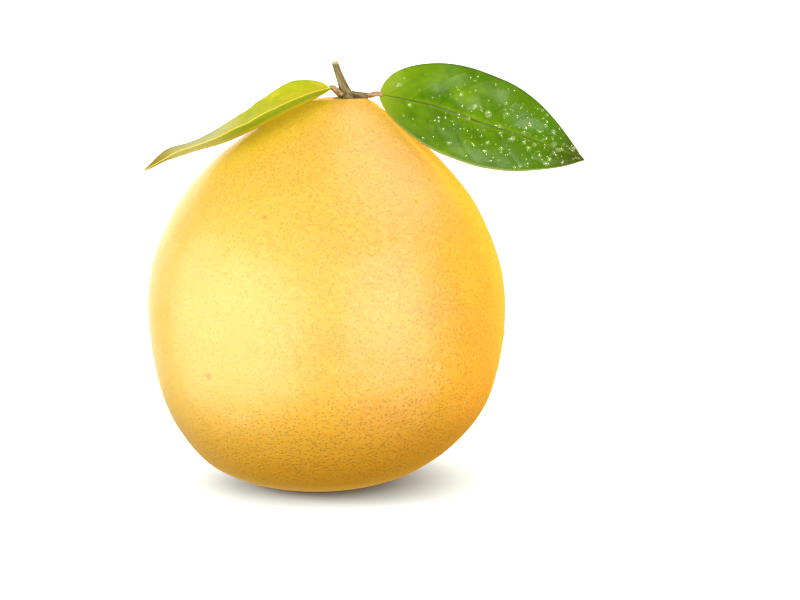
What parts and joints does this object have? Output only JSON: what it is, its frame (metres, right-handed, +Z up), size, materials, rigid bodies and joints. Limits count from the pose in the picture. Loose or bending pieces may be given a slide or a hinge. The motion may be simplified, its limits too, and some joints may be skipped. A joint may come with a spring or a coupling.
{
  "type": "pomelo with stem and leaves",
  "caption": "Whole ripe yellow pomelo, broad below and drawn in towards its crown, with a cut twig and leaves at the stem end.",
  "frame": {"origin": "centre of the small flat spot that the fruit rests on", "axes": "+Z up, towards the stem end; +X towards the broad right leaf; the flat spot faces -Z"},
  "size_m": [0.1835, 0.1494, 0.1786],
  "materials": {
    "skin": "waxy yellow peel, finely pitted with oil glands, with a soft sheen",
    "calyx_wood": "dry green-brown woody tissue",
    "twig_bark": "smooth young olive bark with long grey streaks",
    "petiole_green": "smooth green-brown leaf stalk",
    "leaf_yellow_green": "smooth leathery leaf, turning yellow along its midrib",
    "leaf_green": "glossy leathery leaf, bright green, with paler veins",
    "water": "clear drops of water on the peel and the leaf, which no solid of their own stands for"
  },
  "bodies": {
    "root": {"pomelo_fruit": "skin", "calyx": "calyx_wood", "twig": "twig_bark", "left_petiole": "petiole_green", "right_petiole": "petiole_green", "left_leaf_blade": "leaf_yellow_green", "right_leaf_blade": "leaf_green"}
  },
  "joints": []
}
